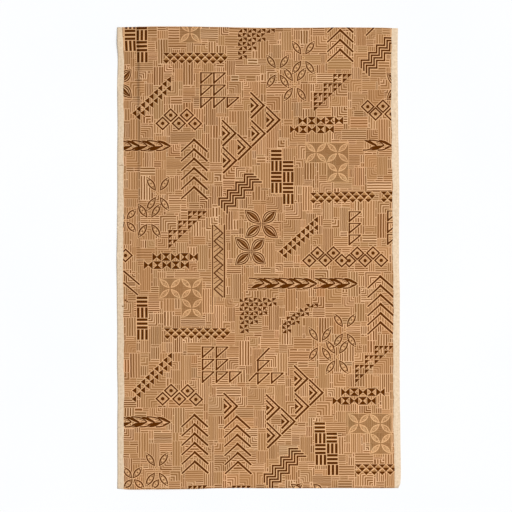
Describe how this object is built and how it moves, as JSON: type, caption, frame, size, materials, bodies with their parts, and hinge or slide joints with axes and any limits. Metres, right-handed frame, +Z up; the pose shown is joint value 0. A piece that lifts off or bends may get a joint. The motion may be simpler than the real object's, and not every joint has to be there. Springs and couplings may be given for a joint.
{
  "type": "lava lava cloth",
  "caption": "Rectangular length of brown printed cotton with plain cream selvedges, laid flat; worn wrapped round the waist as a skirt.",
  "frame": {"origin": "under the middle of the cloth's outline, on the surface it lies on", "axes": "+X across the cloth from its left to its right selvedge, +Y along it to its upper end, +Z up out of the printed face"},
  "size_m": [0.9228, 1.5038, 0.0043],
  "materials": {
    "printed_cotton": "matte plain-weave cotton, screen printed in browns"
  },
  "bodies": {
    "root": {"lava_lava": "printed_cotton"}
  },
  "joints": []
}
